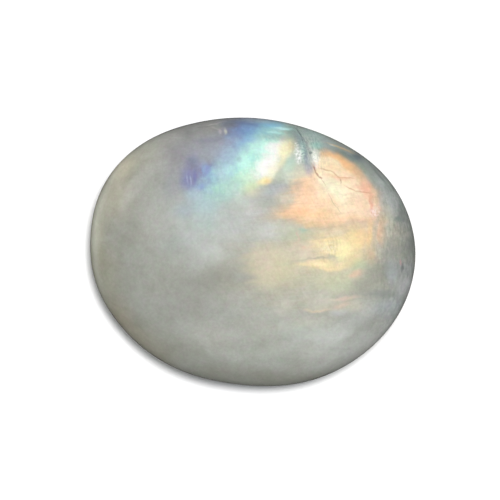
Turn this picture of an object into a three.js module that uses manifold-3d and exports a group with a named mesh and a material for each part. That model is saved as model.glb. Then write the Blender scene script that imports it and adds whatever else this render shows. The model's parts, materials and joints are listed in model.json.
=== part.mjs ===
// A tumble-polished rainbow moonstone: one oval feldspar pebble, lying on a small flat worn on its belly.
// Millimetres, +Z up and +X along the stone's length. The origin is on the floor, under the stone's middle.
import * as THREE from "three";
import { mergeVertices } from "three/addons/utils/BufferGeometryUtils.js";
import Module from "manifold-3d";

// Driving dimensions of the whole pebble.
const LENGTH = 32;
const WIDTH = 26.2;
const CROWN_HEIGHT = 7.5; // from the girdle, the widest level, up to the top
const BELLY_DEPTH = 7.7; // from the girdle down to where the belly would end if it had no foot
const FOOT_CUT = 0.2; // how much of the belly the resting flat takes off

// How full each curve is: 2 is a plain ellipse, and more is squarer.
const PLAN_FULLNESS = 2.08;
const CROWN_FULLNESS = 2.15;
const BELLY_FULLNESS = 2.45;
const THREE_CORNERS = 0.0076; // share by which the outline swells at its three soft corners

// Broad flats that the rough stone kept through tumbling, each as the way it faces and how deep it cuts.
const WEAR_FLATS = [
  { azimuth: 38, elevation: 60, depth: 0.07 }, // crown, over the fire flash
  { azimuth: 200, elevation: 57, depth: 0.08 }, // crown, the milky end
  { azimuth: 290, elevation: 50, depth: 0.06 }, // crown, front shoulder
  { azimuth: 110, elevation: -48, depth: 0.26 },
  { azimuth: 340, elevation: -52, depth: 0.24 },
  { azimuth: 225, elevation: -45, depth: 0.18 },
];
const FLAT_BLEND = 0.7; // width over which a flat melts into the round

// Long, low waves left in the skin by uneven grinding: the way each runs, its length and its height.
const SKIN_WAVES = [
  { along: [0.9, 0.3, 0.3], length: 11, height: 0.035 },
  { along: [-0.4, 0.8, 0.45], length: 8.5, height: 0.03 },
  { along: [0.2, -0.5, 0.84], length: 7, height: 0.025 },
];

// The cleavage crack, seen from above: it leaves the back rim and runs inwards over the crown.
const CRACK_LINE = [
  [2.45, 13.4],
  [3.25, 12.13],
  [4.23, 10.59],
  [5.14, 8.95],
  [5.78, 8.1],
];
const CRACK_WIDTH = 0.34; // at its widest, near the middle
const CRACK_DEPTH = 0.3;
const CRACK_STEPS = 18;

const SKIN_DETAIL = 18; // the icosahedron's edges are each cut this many times more

// Smaller of a and b, rounded off where they are within blend of each other.
function softMin(a, b, blend) {
  const overlap = Math.max(blend - Math.abs(a - b), 0) / blend;
  return Math.min(a, b) - (overlap * overlap * blend) / 4;
}

function facing(azimuth, elevation) {
  const polar = THREE.MathUtils.degToRad(90 - elevation);
  const turn = THREE.MathUtils.degToRad(azimuth);
  return new THREE.Vector3(
    Math.sin(polar) * Math.cos(turn),
    Math.sin(polar) * Math.sin(turn),
    Math.cos(polar),
  );
}

// Length of the vector (a, b) when a curve's fullness, and not Pythagoras' 2, is the power.
function fullLength(a, b, fullness) {
  return (Math.abs(a) ** fullness + Math.abs(b) ** fullness) ** (1 / fullness);
}

// Height and fullness of the half of the stone, crown or belly, that a level z is in.
function halfAt(z) {
  return z > 0 ? [CROWN_HEIGHT, CROWN_FULLNESS] : [BELLY_DEPTH, BELLY_FULLNESS];
}

// Each flat's plane stands in from the plane that only touches the full round form.
const flats = WEAR_FLATS.map(({ azimuth, elevation, depth }) => {
  const normal = facing(azimuth, elevation);
  const [height, fullness] = halfAt(normal.z);
  const partner = (power) => power / (power - 1); // the fullness that gives touching planes
  const level = fullLength((normal.x * LENGTH) / 2, (normal.y * WIDTH) / 2, partner(PLAN_FULLNESS));
  const touching = fullLength(level, normal.z * height, partner(fullness));
  return { normal, distance: touching - depth };
});

// Distance from the stone's middle, at girdle level, out to its skin along a unit direction.
function reach(direction) {
  const { x, y, z } = direction;
  const [height, fullness] = halfAt(z);
  const plan = fullLength((2 * x) / LENGTH, (2 * y) / WIDTH, PLAN_FULLNESS);
  let radius = 1 / fullLength(plan, z / height, fullness);

  const corner = Math.sin(3 * Math.atan2(y / WIDTH, x / LENGTH));
  radius *= 1 + THREE_CORNERS * corner * (x * x + y * y);
  for (const { normal, distance } of flats) {
    const lean = direction.dot(normal);
    if (lean > 0) radius = softMin(radius, distance / lean, FLAT_BLEND);
  }
  for (const { along, length, height: swell } of SKIN_WAVES) {
    const travel = (along[0] * x + along[1] * y + along[2] * z) * radius;
    radius += swell * Math.sin((2 * Math.PI * travel) / length);
  }
  return radius;
}

// The skin: an icosahedron stretched to the stone's proportions, then pushed in or out to its reach.
function pebbleGeometry() {
  const geometry = new THREE.IcosahedronGeometry(1, SKIN_DETAIL);
  geometry.scale(LENGTH / 2, WIDTH / 2, (CROWN_HEIGHT + BELLY_DEPTH) / 2);
  const position = geometry.getAttribute("position");
  const point = new THREE.Vector3();
  for (let i = 0; i < position.count; i++) {
    point.fromBufferAttribute(position, i).normalize();
    point.multiplyScalar(reach(point));
    position.setXYZ(i, point.x, point.y, point.z);
  }
  return geometry;
}

// The crack as an upright sliver, pointed at both ends, that goes right through the stone's height.
function crackBlade() {
  const line = new THREE.CatmullRomCurve3(CRACK_LINE.map(([x, y]) => new THREE.Vector3(x, y, 0)));
  const upright = new THREE.Vector3(0, 0, 1);
  const side = (share, hand) => {
    const half = (CRACK_WIDTH / 2) * Math.sin(Math.PI * share) * hand;
    const across = line.getTangentAt(share).cross(upright);
    return line.getPointAt(share).addScaledVector(across, half);
  };
  const outline = [];
  for (let step = 0; step <= CRACK_STEPS; step++) outline.push(side(step / CRACK_STEPS, 1));
  for (let step = CRACK_STEPS - 1; step > 0; step--) outline.push(side(step / CRACK_STEPS, -1));
  const sliver = new THREE.Shape(outline.map(({ x, y }) => new THREE.Vector2(x, y)));
  return new THREE.ExtrudeGeometry(sliver, { depth: CROWN_HEIGHT + BELLY_DEPTH, bevelEnabled: false });
}

const wasm = await Module();
wasm.setup();

function solidFrom(geometry) {
  const bare = geometry.clone().deleteAttribute("normal").deleteAttribute("uv");
  const merged = mergeVertices(bare, 1e-4);
  return new wasm.Manifold(
    new wasm.Mesh({
      numProp: 3,
      vertProperties: merged.getAttribute("position").array,
      triVerts: new Uint32Array(merged.getIndex().array),
    }),
  );
}

function geometryFrom(solid) {
  const { vertProperties, triVerts } = solid.getMesh();
  const geometry = new THREE.BufferGeometry();
  geometry.setAttribute("position", new THREE.BufferAttribute(vertProperties, 3));
  geometry.setIndex(new THREE.BufferAttribute(triVerts, 1));
  return geometry;
}

// Round pebble, less the crack's slit and less a slice under the belly that leaves the foot.
function moonstoneGeometry() {
  const skin = pebbleGeometry();
  const pebble = solidFrom(skin);
  const core = solidFrom(skin.clone().scale(...shrunkBy(CRACK_DEPTH)));
  const slit = solidFrom(crackBlade()).subtract(core);

  const slice = new THREE.BoxGeometry(LENGTH, WIDTH, BELLY_DEPTH);
  slice.translate(0, 0, FOOT_CUT - BELLY_DEPTH - BELLY_DEPTH / 2);

  const geometry = geometryFrom(pebble.subtract(slit).subtract(solidFrom(slice)));
  geometry.computeBoundingBox();
  const { min, max } = geometry.boundingBox;
  return geometry.translate(-(min.x + max.x) / 2, -(min.y + max.y) / 2, -min.z);
}

// Scale factors that take the same depth off each of the stone's half sizes.
function shrunkBy(depth) {
  return [LENGTH / 2, WIDTH / 2, CROWN_HEIGHT].map((half) => 1 - depth / half);
}

const feldspar = new THREE.MeshStandardMaterial({ color: 0xb4b7ae, roughness: 0.18, metalness: 0 });

const moonstone = new THREE.Mesh(moonstoneGeometry(), feldspar);
moonstone.name = "moonstone";

const part = new THREE.Group();
part.add(moonstone);

export default part;
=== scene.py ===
# %% [markdown]
# # A tumble-polished rainbow moonstone
#
# The stone is one oval pebble of feldspar, 32 mm long. Weeks in a tumbler have taken off every edge, and
# what is left is a smooth dome of milky stone. Inside it, thin layers of two feldspars scatter light and
# give the flashes: blue near the back edge, and a peach and gold fire on the right. A cleavage crack
# reaches the skin between the two.
#
# We first load the packed solid. It is the fixed frame: it says how large the stone is and where it lies.

# %% Load the packed stone
import json
import math

import bmesh
import bpy
from mathutils import Matrix, Vector, geometry
from mathutils.bvhtree import BVHTree

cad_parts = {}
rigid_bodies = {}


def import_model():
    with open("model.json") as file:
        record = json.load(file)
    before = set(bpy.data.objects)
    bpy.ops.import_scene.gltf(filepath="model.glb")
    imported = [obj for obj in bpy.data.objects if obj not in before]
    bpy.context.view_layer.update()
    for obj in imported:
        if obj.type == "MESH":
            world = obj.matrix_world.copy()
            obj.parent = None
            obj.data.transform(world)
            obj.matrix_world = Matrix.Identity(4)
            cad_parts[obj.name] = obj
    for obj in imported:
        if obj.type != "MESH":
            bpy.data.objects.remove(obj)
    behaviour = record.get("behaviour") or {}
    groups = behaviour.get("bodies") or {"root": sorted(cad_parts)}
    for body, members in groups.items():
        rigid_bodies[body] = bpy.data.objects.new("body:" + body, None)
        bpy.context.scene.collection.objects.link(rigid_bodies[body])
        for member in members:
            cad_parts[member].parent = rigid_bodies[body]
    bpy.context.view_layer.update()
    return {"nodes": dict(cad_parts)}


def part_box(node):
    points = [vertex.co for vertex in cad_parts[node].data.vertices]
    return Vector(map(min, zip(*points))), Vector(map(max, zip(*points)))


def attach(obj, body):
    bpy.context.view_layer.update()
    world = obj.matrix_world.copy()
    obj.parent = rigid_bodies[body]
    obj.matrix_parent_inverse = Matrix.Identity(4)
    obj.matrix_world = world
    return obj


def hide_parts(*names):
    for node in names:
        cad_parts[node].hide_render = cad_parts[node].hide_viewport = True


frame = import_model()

NODE = "moonstone"
low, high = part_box(NODE)
MM = 0.001  # one millimetre, in Blender's metres
print("stone box in mm:", [round(side / MM, 2) for side in high - low])

# %% [markdown]
# ## The form of the pebble
#
# A tumbled stone is close to an ellipsoid, but a little fuller, with soft flats that the rough piece had.
# A sculpted ball would do, but no one could repeat it. So the form is one small formula, `reach`, which
# gives the distance from the stone's middle to its skin in any direction. It has the same numbers as the
# solid's own source, and it can be asked at any fineness, so the fine surface below agrees with the plain
# solid.

# %% Numbers of the form
LENGTH, WIDTH = 32.0, 26.2  # mm
CROWN_HEIGHT, BELLY_DEPTH, FOOT_CUT = 7.5, 7.7, 0.2  # mm over and under the girdle, and off the belly
PLAN_FULLNESS, CROWN_FULLNESS, BELLY_FULLNESS = 2.08, 2.15, 2.45  # 2 is an ellipse, and more is fuller
THREE_CORNERS = 0.0076  # the share of the distance that three soft corners stand out by
WEAR_FLATS = [  # azimuth and elevation of the way it faces, in degrees, and its depth in mm
    (38, 60, 0.07), (200, 57, 0.08), (290, 50, 0.06),
    (110, -48, 0.26), (340, -52, 0.24), (225, -45, 0.18),
]
FLAT_BLEND, FOOT_BLEND = 0.7, 0.1  # mm over which a flat runs out into the round
SKIN_WAVES = [  # the way the wave runs, its length and its height in mm
    ((0.9, 0.3, 0.3), 11, 0.035), ((-0.4, 0.8, 0.45), 8.5, 0.03), ((0.2, -0.5, 0.84), 7, 0.025),
]


def full_length(a, b, fullness):
    """How long the step (a, b) is, where every point of a full ellipse is a step of 1 away."""
    return (abs(a) ** fullness + abs(b) ** fullness) ** (1 / fullness)


def half_at(z):
    """Height and fullness of the half that z lies in, which is the crown or the belly."""
    return (CROWN_HEIGHT, CROWN_FULLNESS) if z > 0 else (BELLY_DEPTH, BELLY_FULLNESS)


def soft_min(a, b, blend):
    """The smaller of a and b, rounded off where they are less than blend apart."""
    overlap = max(blend - abs(a - b), 0) / blend
    return min(a, b) - overlap * overlap * blend / 4


def touching_distance(normal):
    """How far from the middle a plane that faces this way only touches the full round form."""
    height, fullness = half_at(normal.z)
    plan = PLAN_FULLNESS / (PLAN_FULLNESS - 1)
    level = full_length(normal.x * LENGTH / 2, normal.y * WIDTH / 2, plan)
    return full_length(level, normal.z * height, fullness / (fullness - 1))


def facing(azimuth, elevation):
    turn, lift = math.radians(azimuth), math.radians(elevation)
    return Vector((math.cos(lift) * math.cos(turn), math.cos(lift) * math.sin(turn), math.sin(lift)))


FLATS = [(facing(az, el), touching_distance(facing(az, el)) - depth) for az, el, depth in WEAR_FLATS]
print("flats stand off the middle by, in mm:", [round(distance, 2) for _, distance in FLATS])


# %% Distance from the middle to the skin
def reach(way):
    """From the stone's middle to its skin in this direction, in mm."""
    height, fullness = half_at(way.z)
    plan = full_length(2 * way.x / LENGTH, 2 * way.y / WIDTH, PLAN_FULLNESS)
    radius = 1 / full_length(plan, way.z / height, fullness)
    corner = math.sin(3 * math.atan2(way.y / WIDTH, way.x / LENGTH))
    radius *= 1 + THREE_CORNERS * corner * (way.x ** 2 + way.y ** 2)
    for normal, distance in FLATS:
        lean = way.dot(normal)
        if lean > 0:
            radius = soft_min(radius, distance / lean, FLAT_BLEND)
    for along, length, swell in SKIN_WAVES:
        radius += swell * math.sin(math.tau * Vector(along).dot(way) * radius / length)
    if way.z < 0:
        radius = soft_min(radius, (BELLY_DEPTH - FOOT_CUT) / -way.z, FOOT_BLEND)
    return radius


print("from the middle to the right-hand tip:", round(reach(Vector((1, 0, 0))), 2), "mm")

# %% [markdown]
# ## The skin
#
# An icosphere has triangles of even size, with no poles, which is right for a pebble. We stretch it to
# the stone's proportions first, so that the triangles stay even, and then move every point in or out to
# the formula's reach.


# %% Blow up an icosphere to the skin
def place_on_skin(mesh):
    for vert in mesh.verts:
        way = vert.co.normalized()
        vert.co = way * reach(way)


SKIN_SPLITS = 7
stone = bmesh.new()
bmesh.ops.create_icosphere(stone, subdivisions=SKIN_SPLITS, radius=1)
bmesh.ops.scale(stone, verts=stone.verts, vec=(LENGTH / 2, WIDTH / 2, (CROWN_HEIGHT + BELLY_DEPTH) / 2))
place_on_skin(stone)
print("faces in the skin:", len(stone.faces))

# %% [markdown]
# ## A chart of the stone
#
# Every crack, cloud and flash has its own place on this stone. Places could be written in millimetres,
# but they are easier to read off, and to set right, where one sees them. So they stand on a chart, which
# is the camera's own frame cut into 500 steps each way: one step is one pixel of a 500-pixel render, and
# about a tenth of a millimetre on the stone. The first number runs right and the second runs down. The
# stone lies askew on the chart, and one small function takes a point of it to millimetres from the
# stone's middle.

# %% From the chart to the stone
CHART_WIDTH, CHART_STEPS = 49.09, 500  # mm across the whole chart, and its steps
CHART_MIDDLE = (251.7, 251.3)  # where the stone's middle lies on it, in steps
ROLL = 7.5  # degrees that the stone's long axis lies askew on it
STEP = CHART_WIDTH / CHART_STEPS


def from_chart(right, down):
    """A point of the chart, in mm from the stone's middle."""
    x, y = (right - CHART_MIDDLE[0]) * STEP, (CHART_MIDDLE[1] - down) * STEP
    turn = math.radians(ROLL)
    return x * math.cos(turn) - y * math.sin(turn), x * math.sin(turn) + y * math.cos(turn)


print("one step of the chart, in mm:", STEP)

# %% [markdown]
# ## The cleavage crack
#
# Feldspar splits along flat planes. One such split comes to the surface at the back edge, as a groove
# that narrows from a fifth of a millimetre as it runs inwards over the crown, and ends in a little hook.
# A thin side crack runs beside it. A bump map could darken such a line, but a groove in the mesh also
# catches the light from the side. So we lay the lines on the skin, split the triangles near them three
# times, and press the fine points in. Each point near a crack also keeps the painted shade that the crack
# lays beside it.

# %% Lay the crack lines on the skin
CRACKS = [  # half width and depth in mm, and points on the chart: three lengths of groove, one side crack
    (0.095, 0.13, [(293.5, 123), (295.5, 127), (298, 131), (300.3, 134.5), (302.3, 138.5)]),
    (0.06, 0.04, [(301, 136), (304, 141.5), (307, 147), (309.3, 151.5), (310.4, 156), (311.5, 161)]),
    (0.055, 0.06, [(311.5, 163), (313, 168), (314.8, 172.5), (316.8, 175.8), (319, 177.3)]),
    (0.05, 0.04, [(302, 139), (303.5, 146), (305.5, 153), (307, 160), (308.5, 167)]),
]
ABOVE = 30.0  # mm over the stone's middle, well clear of the crown, from which we look down on the skin


def laid_on_skin(points):
    tree = BVHTree.FromBMesh(stone)
    starts = [Vector((*from_chart(*point), ABOVE)) for point in points]
    hits = [tree.ray_cast(start, Vector((0, 0, -1)))[0] for start in starts]
    return [hit for hit in hits if hit is not None]


crack_paths = [(half, depth, laid_on_skin(points)) for half, depth, points in CRACKS]
print("points on each crack:", [len(path) for _, _, path in crack_paths])


# %% Split the triangles near the cracks
def line_distance(point, path):
    """Distance to the line, and how far along it the nearest point is, from 0 to 1."""
    best, place = 1e9, 0.0
    for step, (start, end) in enumerate(zip(path, path[1:])):
        share = min(max(geometry.intersect_point_line(point, start, end)[1], 0), 1)
        gap = (start.lerp(end, share) - point).length
        if gap < best:
            best, place = gap, (step + share) / (len(path) - 1)
    return best, place


def in_crack_zone(vert):
    return (vert.co - crack_centre).length < CRACK_ZONE


def near_cracks(point, margin):
    return any(line_distance(point, path)[0] < half + margin for half, _, path in crack_paths)


crack_centre = crack_paths[0][2][-2]
CRACK_ZONE = 4.5  # mm round crack_centre in which every crack lies
SPLIT_MARGINS = (0.45, 0.25, 0.12)  # mm beside a crack that each round of splitting takes in
for margin in SPLIT_MARGINS:
    near = {v for v in stone.verts if in_crack_zone(v) and near_cracks(v.co, margin)}
    edges = [e for e in stone.edges if near.issuperset(e.verts)]
    bmesh.ops.subdivide_edges(stone, edges=edges, cuts=1, use_grid_fill=True)
bmesh.ops.triangulate(stone, faces=[f for f in stone.faces if len(f.verts) > 3])
place_on_skin(stone)
print("faces with the crack zone split:", len(stone.faces))

# %% Press the cracks in
TAPER_START, TAPER_SPAN, TAPER_ROUNDNESS = 0.06, 0.92, 0.5  # a crack narrows as this part of a half wave
CRACK_SHADE_FALL = 1.5  # how fast the painted shade beside a crack fades
crack_layer = stone.verts.layers.float.new("crack")
for vert in filter(in_crack_zone, stone.verts):
    sink, dark = 0.0, 0.0
    for half, depth, path in crack_paths:
        gap, place = line_distance(vert.co, path)
        taper = math.sin(math.pi * (place * TAPER_SPAN + TAPER_START)) ** TAPER_ROUNDNESS
        if gap < half * taper:
            sink = max(sink, depth * taper * (1 - (gap / (half * taper)) ** 2) ** 2)
        dark = max(dark, taper * depth / CRACKS[0][1] * math.exp(-((gap / half) ** 2) * CRACK_SHADE_FALL))
    # the crack layer holds the painted shade beside the cracks
    vert[crack_layer] = dark
    vert.co -= vert.co.normalized() * sink
print("points that the cracks stain:", sum(vert[crack_layer] > 0.1 for vert in stone.verts))

# %% [markdown]
# ## The finished piece
#
# The new skin has to fill the solid's box and no more. The formula's ball is smoother than the solid's
# facets and stands a few hundredths of a millimetre proud of them, so the last step fits it to the box
# exactly.

# %% Fit the skin to the solid's box
skin_low = Vector([min(v.co[i] for v in stone.verts) for i in range(3)])
skin_high = Vector([max(v.co[i] for v in stone.verts) for i in range(3)])
fit = Vector([(high[i] - low[i]) / (skin_high[i] - skin_low[i]) for i in range(3)])
bmesh.ops.translate(stone, verts=stone.verts, vec=-(skin_low + skin_high) / 2)
bmesh.ops.scale(stone, verts=stone.verts, vec=fit)
bmesh.ops.translate(stone, verts=stone.verts, vec=(low + high) / 2)
bmesh.ops.recalc_face_normals(stone, faces=stone.faces)

solid = bmesh.new()
solid.from_mesh(frame["nodes"][NODE].data)
bmesh.ops.remove_doubles(solid, verts=solid.verts, dist=0.0001 * MM)
solid_tree = BVHTree.FromBMesh(solid)
off = [solid_tree.find_nearest(v.co)[3] / MM for v in stone.verts]
print("skin off the solid, mean and most, in mm:", round(sum(off) / len(off), 4), round(max(off), 3))
solid.free()

mesh = bpy.data.meshes.new("moonstone_polished")
stone.to_mesh(mesh)
skin_tree = BVHTree.FromBMesh(stone)
stone.free()
for face in mesh.polygons:
    face.use_smooth = True
moonstone = bpy.data.objects.new("moonstone_polished", mesh)
bpy.context.scene.collection.objects.link(moonstone)
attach(moonstone, "root")
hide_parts(NODE)
print("triangles:", len(mesh.polygons))

# %% [markdown]
# ## A bench for nodes
#
# A material like this one has many small steps. The bench below adds a node and wires it in one line, so
# that the cells after it read as steps of the finish and not as wiring.


# %% Helpers that add and wire nodes
class Bench:
    """Adds nodes to one node tree. A value that is a socket is linked, and any other is set."""

    def __init__(self, tree):
        self.tree = tree

    def feed(self, socket, value):
        if isinstance(value, bpy.types.NodeSocket):
            self.tree.links.new(value, socket)
        else:
            socket.default_value = value

    def add(self, kind, inputs=(), **settings):
        node = self.tree.nodes.new(kind)
        for name, value in settings.items():
            setattr(node, name, value)
        for key, value in dict(inputs).items():
            self.feed(node.inputs[key], value)
        return node

    def math(self, operation, *values):
        return self.add("ShaderNodeMath", enumerate(values), operation=operation).outputs[0]

    def vector(self, operation, *values):
        return self.add("ShaderNodeVectorMath", enumerate(values), operation=operation).outputs[0]

    def dot(self, first, second):
        inputs = {0: first, 1: second}
        return self.add("ShaderNodeVectorMath", inputs, operation="DOT_PRODUCT").outputs["Value"]

    def mix(self, share, first, second, blend="MIX"):
        node = self.add("ShaderNodeMix", data_type="RGBA", blend_type=blend)
        for key, value in ((0, share), (6, first), (7, second)):
            self.feed(node.inputs[key], value)
        return node.outputs[2]

    def between(self, value, start, end, low_end=0.0, high_end=1.0):
        """value from start to end becomes a smooth step from low_end to high_end, and needs no clamp."""
        inputs = {"Value": value, "From Min": start, "From Max": end, "To Min": low_end, "To Max": high_end}
        settings = {"interpolation_type": "SMOOTHSTEP", "clamp": False}
        return self.add("ShaderNodeMapRange", inputs, **settings).outputs[0]

    def ramp(self, value, stops):
        node = self.add("ShaderNodeValToRGB", {"Fac": value})
        elements = node.color_ramp.elements
        while len(elements) < len(stops):
            elements.new(0.5)
        for element, (position, colour) in zip(elements, stops):
            element.position, element.color = position, colour
        return node.outputs[0]

    def noise(self, place, scale, detail=3.0, roughness=0.5, distortion=0.0, output="Fac"):
        """Noise that has as many waves in each unit of place as scale says."""
        inputs = {
            "Vector": place, "Scale": scale, "Detail": detail,
            "Roughness": roughness, "Distortion": distortion,
        }
        return self.add("ShaderNodeTexNoise", inputs).outputs[output]

    def group(self, tree, **inputs):
        node = self.add("ShaderNodeGroup", node_tree=tree)
        for name, value in inputs.items():
            self.feed(node.inputs[name.replace("_", " ").title()], value)
        return node.outputs[0]


def new_group(name, inputs, output):
    """An empty shader group. Each input is (name, kind, value), and the output is (name, kind)."""
    tree = bpy.data.node_groups.new(name, "ShaderNodeTree")
    for title, kind, value in inputs:
        socket = tree.interface.new_socket(title, in_out="INPUT", socket_type=kind)
        socket.default_value = value
    tree.interface.new_socket(output[0], in_out="OUTPUT", socket_type=output[1])
    start, end = tree.nodes.new("NodeGroupInput"), tree.nodes.new("NodeGroupOutput")
    return Bench(tree), start.outputs, end.inputs


print("the bench can:", [name for name in vars(Bench) if not name.startswith("_")])

# %% [markdown]
# ## One soft stroke
#
# Every flash, cloud and hairline in the stone is a soft-edged egg somewhere in it, long or round,
# straight or bent. So one group draws such an egg, and the finish uses it many times with other numbers,
# as a painter uses one brush. At its edge it is half as strong as in its middle. A crispness of 1 fades
# like fog, and 3 has a firm edge.

# %% Build the stroke group
stroke_bench, given, result = new_group(
    "soft_stroke",
    [
        ("Place", "NodeSocketVector", (0, 0, 0)),
        ("Centre", "NodeSocketVector", (0, 0, 0)),
        ("Along", "NodeSocketVector", (1, 0, 0)),  # the way of the stroke, over its half length
        ("Across", "NodeSocketVector", (0, 1, 0)),  # the way across it, over its half width
        ("Down", "NodeSocketVector", (0, 0, 1)),  # the way into the stone, over its half depth
        ("Bend", "NodeSocketFloat", 0.0),
        ("Crispness", "NodeSocketFloat", 1.0),
    ],
    ("Mask", "NodeSocketFloat"),
)
offset = stroke_bench.vector("SUBTRACT", given["Place"], given["Centre"])
along, across, down = (stroke_bench.dot(offset, given[way]) for way in ("Along", "Across", "Down"))
spread = stroke_bench.math("MULTIPLY", along, along)
bow = stroke_bench.math("MULTIPLY", spread, given["Bend"])
for part in (stroke_bench.math("SUBTRACT", across, bow), down):
    spread = stroke_bench.math("ADD", spread, stroke_bench.math("MULTIPLY", part, part))
fall = stroke_bench.math("POWER", spread, given["Crispness"])
HALF_AT_EDGE = -math.log(2)
fading = stroke_bench.math("MULTIPLY", fall, HALF_AT_EDGE)
stroke_bench.feed(result["Mask"], stroke_bench.math("EXPONENT", fading))
soft_stroke = stroke_bench.tree
print("nodes in one stroke:", len(soft_stroke.nodes))

# %% [markdown]
# ## The places of the finish
#
# The patterns are in the stone, so they read Object coordinates, turned into millimetres from the stone's
# middle. Seen from above they keep their places, and layers of noise push their edges about, because
# nothing in a grown stone has a clean outline. `loose` is for clouds, `tight` is for fine marks, and
# `combed` is also drawn out along the cleavage, as the flashes are where thin plates of the stone end.

# %% Start the material
LIGHT_LEVEL = 1.22  # how bright a white card would be under this light, so colours are divided by it


def seen(red, green, blue, level=LIGHT_LEVEL):
    """The paint that looks like this screen colour (0 to 255) once it is lit."""
    def linear(part):
        part /= 255
        return part / 12.92 if part <= 0.04045 else ((part + 0.055) / 1.055) ** 2.4
    return (*(linear(part) / level for part in (red, green, blue)), 1.0)


feldspar = bpy.data.materials.new("polished_feldspar")
feldspar.use_nodes = True
feldspar.node_tree.nodes.clear()
paint = Bench(feldspar.node_tree)
place_mm = paint.add(
    "ShaderNodeMapping",
    {
        "Vector": paint.add("ShaderNodeTexCoord").outputs["Object"],
        "Location": [-(low[i] + high[i]) / 2 / MM for i in range(3)],
        "Scale": [1 / MM] * 3,
    },
).outputs[0]
height = paint.dot(place_mm, (0, 0, 1))
print("a white card's paint:", [round(part, 3) for part in seen(255, 255, 255)])


# %% Noise that moves places about
def shift(scale, amount, detail=2.0):
    """A push by noise of so many waves per mm, of up to about half of amount, in mm."""
    colour = paint.noise(place_mm, scale, detail, output="Color")
    return paint.vector("MULTIPLY", paint.vector("SUBTRACT", colour, (0.5, 0.5, 0.5)), (amount,) * 3)


def plates(turn, length, width, dip=20.0, detail=3.0):
    """Noise in plates: so long in the way of turn, so thin across, in mm, and dipping into the stone."""
    inputs = {
        "Vector": place_mm,
        "Rotation": (math.radians(dip), 0, math.radians(turn)),
        "Scale": (length, width, length / 2),
    }
    turned = paint.add("ShaderNodeMapping", inputs, vector_type="TEXTURE").outputs[0]
    return paint.noise(turned, 1.0, detail, roughness=0.6, distortion=0.3)


loose = paint.vector("ADD", paint.vector("ADD", place_mm, shift(0.3, 1.3)), shift(1.1, 0.5))
tight = paint.vector("ADD", place_mm, shift(1.6, 0.25))
CLEAVAGE_TURN, CROSS_TURN = 10.0, -52.0  # the ways that the two sets of splinters run, in degrees
COMB_REACH = 1.6  # mm that the comb pulls a flash's edge about
streaks = plates(CLEAVAGE_TURN, length=3.0, width=0.5, detail=4.0)
comb = paint.math("SUBTRACT", streaks, 0.5)
cleavage_way = Vector((math.cos(math.radians(CLEAVAGE_TURN)), math.sin(math.radians(CLEAVAGE_TURN)), 0))
comb_push = {0: cleavage_way * COMB_REACH, "Scale": comb}
comb_shift = paint.add("ShaderNodeVectorMath", comb_push, operation="SCALE").outputs[0]
combed = paint.vector("ADD", loose, comb_shift)
print("the comb runs along", [round(part, 2) for part in cleavage_way])


# %% Strokes as rows
middle = (low + high) / 2
SHALLOWEST = 3.0  # mm to which even the smallest stroke goes down into the stone


def crown_level(x, y):
    """Height of the skin over the stone's middle, in mm, where a stroke is laid on the crown."""
    hit = skin_tree.ray_cast(middle + Vector((x, y, ABOVE)) * MM, Vector((0, 0, -1)))[0]
    return (hit - middle).z / MM if hit else 0.0


def stroke(place, row, level=None):
    """How strongly one stroke shows at a place.

    The row holds x, y, half length and half width in mm, its turn in degrees, its crispness and
    strength, and a bend if it has one. The stroke lies on the crown, or at the level if one is
    given, in mm over the stone's middle."""
    x, y, half_length, half_width, turn, crispness, strength, *bend = row
    turn = math.radians(turn)
    mask = paint.group(
        soft_stroke, place=place, centre=(x, y, crown_level(x, y) if level is None else level),
        along=Vector((math.cos(turn), math.sin(turn), 0)) / half_length,
        across=Vector((-math.sin(turn), math.cos(turn), 0)) / half_width,
        down=(0, 0, 1 / (half_length + SHALLOWEST)), bend=bend[0] if bend else 0.0, crispness=crispness,
    )
    return paint.math("MULTIPLY", mask, strength)


def chart_stroke(place, row):
    """The same, where the row holds its first five numbers as the chart has them."""
    right, down, half_length, half_width, turn, *rest = row
    sizes = half_length * STEP, half_width * STEP
    return stroke(place, (*from_chart(right, down), *sizes, turn + ROLL, *rest))


print("skin over the stone's middle, in mm:", round(crown_level(0, 0), 2))


# %% Lay many strokes, and patterns
def together(place, rows):
    """Several strokes as one mask. Where they overlap, each covers part of what the others leave."""
    left = None
    for row in rows:
        rest = paint.math("SUBTRACT", 1.0, chart_stroke(place, row))
        left = rest if left is None else paint.math("MULTIPLY", left, rest)
    return paint.math("SUBTRACT", 1.0, left)


def over(colour, place, rows):
    """Paint each row's colour over what is there, in order."""
    for shade, *row in rows:
        colour = paint.mix(chart_stroke(place, row), colour, seen(*shade))
    return colour


def weave(colour, zone, pattern, dark, pale):
    """Inside the zone, shade the colour by dark in the pattern's valleys and by pale on its crests."""
    shades = paint.ramp(pattern, [(0.3, (*dark, 1)), (0.5, (1, 1, 1, 1)), (0.7, (*pale, 1))])
    return paint.mix(zone, colour, shades, "MULTIPLY")


def flecks(colour, place, rows, pattern, low_step, high_step):
    """As over, but only where the pattern is high, so that a stroke breaks up into chips."""
    chips = paint.between(pattern, low_step, high_step)
    for shade, *row in rows:
        share = paint.math("MULTIPLY", chart_stroke(place, row), chips)
        colour = paint.mix(share, colour, seen(*shade))
    return colour


print("ways to lay them:", [way.__name__ for way in (together, over, weave, flecks)])
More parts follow.
